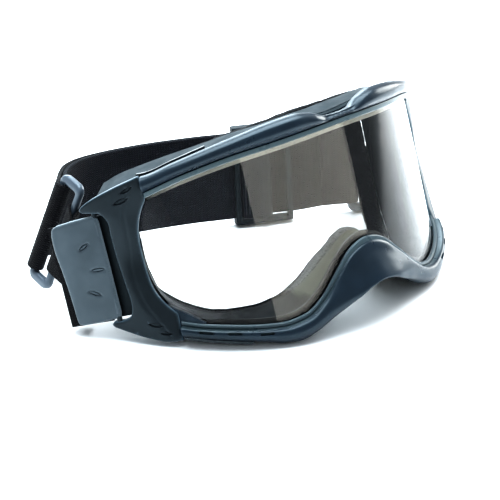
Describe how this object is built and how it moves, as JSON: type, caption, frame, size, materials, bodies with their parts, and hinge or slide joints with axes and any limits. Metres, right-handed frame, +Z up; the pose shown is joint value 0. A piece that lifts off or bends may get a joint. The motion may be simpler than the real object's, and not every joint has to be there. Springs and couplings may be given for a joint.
{
  "type": "safety goggles",
  "caption": "Wide-view goggles with a clear wrap-around lens, soft face foam, side strap clips and an adjustable elastic head strap.",
  "frame": {"origin": "centre of the footprint, on the surface the goggles stand on", "axes": "+Z up, -Y the way the wearer looks, +X to the wearer's left; the goggles lean back 19.1 degrees as they rest"},
  "size_m": [0.2118, 0.144, 0.0907],
  "materials": {
    "frame_plastic": "satin, fine texture",
    "bracket_plastic": "satin gloss",
    "clip_plastic": "satin gloss",
    "vent_plastic": "matt",
    "lens": "clear polycarbonate",
    "seal_rubber": "matt",
    "soft_body": "soft matt",
    "face_foam": "brushed foam",
    "filter_foam": "open foam",
    "strap_elastic": "ribbed woven elastic",
    "webbing": "woven webbing",
    "buckle_plastic": "satin",
    "slider_plastic": "satin",
    "steel": "bright"
  },
  "bodies": {
    "goggle": {"face_foam": "face_foam", "face_skirt": "soft_body", "front_frame": "frame_plastic", "hinge_pin_left": "steel", "hinge_pin_right": "steel", "lens": "lens", "lens_seal": "seal_rubber", "low_vent_foam_left": "filter_foam", "low_vent_foam_right": "filter_foam", "lower_tongue_left": "bracket_plastic", "lower_tongue_right": "bracket_plastic", "side_bracket_left": "bracket_plastic", "side_bracket_right": "bracket_plastic", "strap_back": "strap_elastic", "strap_return": "strap_elastic", "top_vent_cover": "vent_plastic", "top_vent_foam": "filter_foam", "upper_tongue_left": "bracket_plastic", "upper_tongue_right": "bracket_plastic"},
    "clip_left": {"clip_plate_left": "clip_plastic", "clip_liner_left": "webbing", "clip_back_left": "clip_plastic", "clip_rivets_left": "steel", "strap_bar_left": "steel", "strap_run_left": "strap_elastic"},
    "buckle_left": {"strap_buckle_left": "buckle_plastic", "strap_loop_left": "strap_elastic", "webbing_tab_left": "webbing"},
    "clip_right": {"clip_plate_right": "clip_plastic", "clip_liner_right": "webbing", "clip_back_right": "clip_plastic", "clip_rivets_right": "steel", "strap_bar_right": "steel", "strap_run_right": "strap_elastic"},
    "buckle_right": {"strap_buckle_right": "buckle_plastic", "strap_loop_right": "strap_elastic", "webbing_tab_right": "webbing"},
    "slider": {"strap_slider": "slider_plastic", "slider_loop": "strap_elastic"}
  },
  "joints": [
    {"name": "clip_right_pivot", "type": "hinge", "parent": "goggle", "child": "clip_right", "pos_m": [-0.09291, -0.00017, 0.03034], "axis": [0, 0.3272, 0.9449], "range_deg": [-8, 25], "deforming": ["strap_run_right"]},
    {"name": "buckle_right_swing", "type": "hinge", "parent": "clip_right", "child": "buckle_right", "pos_m": [-0.09733, 0.01547, 0.02355], "axis": [0, 0.3272, 0.9449], "range_deg": [-10, 20], "deforming": ["strap_run_right"]},
    {"name": "clip_left_pivot", "type": "hinge", "parent": "goggle", "child": "clip_left", "pos_m": [0.09291, -0.00017, 0.03034], "axis": [0, -0.3272, -0.9449], "range_deg": [0, 25], "deforming": ["strap_run_left"]},
    {"name": "buckle_left_swing", "type": "hinge", "parent": "clip_left", "child": "buckle_left", "pos_m": [0.09733, 0.01547, 0.02355], "axis": [0, -0.3272, -0.9449], "range_deg": [0, 20], "deforming": ["strap_run_left"]},
    {"name": "slider_slide", "type": "slide", "parent": "goggle", "child": "slider", "axis": [0.888, -0.4599, 0], "range_m": [-0.014, 0.014], "deforming": ["strap_return"]}
  ]
}
